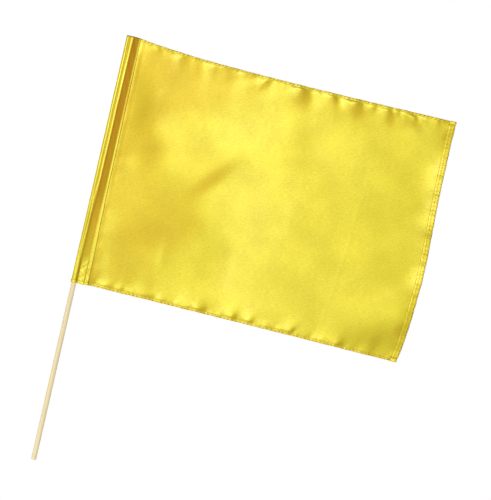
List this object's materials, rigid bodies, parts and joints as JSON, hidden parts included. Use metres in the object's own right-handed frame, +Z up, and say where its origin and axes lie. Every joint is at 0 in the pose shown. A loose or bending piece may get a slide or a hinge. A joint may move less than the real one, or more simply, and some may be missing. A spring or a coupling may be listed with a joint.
{
  "type": "hand flag on a stick",
  "caption": "Plain rectangular satin hand flag with hemmed edges and a sewn sleeve that carries it on a thin round wooden stick.",
  "frame": {"origin": "centre of the foot of the stick", "axes": "+Z up the stick towards the cloth, +X from the stick towards the fly edge, -Y the face that shows the sewn-down flap of the sleeve"},
  "size_m": [0.3948, 0.0096, 0.502],
  "materials": {
    "wood": "sanded, unvarnished pale dowel",
    "satin": "yellow polyester satin, soft broad sheen",
    "satin_turned": "the same satin turned over in a hem",
    "thread": "yellow polyester sewing thread"
  },
  "bodies": {
    "stick": {"stick": "wood"},
    "sleeve_end": {"sleeve_end_tuck": "satin_turned"},
    "hoist": {"sleeve_fold": "satin", "sleeve_front_ply": "satin", "sleeve_back_ply": "satin", "sleeve_turned_edge": "satin_turned", "sleeve_top_fold": "satin_turned", "sleeve_mouth_hem": "satin_turned", "sleeve_needle_thread": "thread", "sleeve_bobbin_thread": "thread", "hoist_panel": "satin", "top_hem_hoist": "satin_turned", "bottom_hem_hoist": "satin_turned", "top_thread_hoist": "thread", "bottom_thread_hoist": "thread"},
    "fly": {"fly_panel": "satin", "top_hem_fly": "satin_turned", "bottom_hem_fly": "satin_turned", "fly_end_hem": "satin_turned", "top_thread_fly": "thread", "bottom_thread_fly": "thread", "fly_end_thread": "thread"}
  },
  "joints": [
    {"name": "sleeve_slide", "type": "slide", "parent": "stick", "child": "sleeve_end", "axis": [0, 0, 1], "range_m": [0, 0.3]},
    {"name": "flag_swivel", "type": "hinge", "parent": "sleeve_end", "child": "hoist", "pos_m": [0, 0, 0.4], "axis": [0, 0, 1], "continuous": true},
    {"name": "fly_fold", "type": "hinge", "parent": "hoist", "child": "fly", "pos_m": [0.298, -0.00115, 0.35], "axis": [0, 0, -1], "range_deg": [-75, 175]}
  ]
}
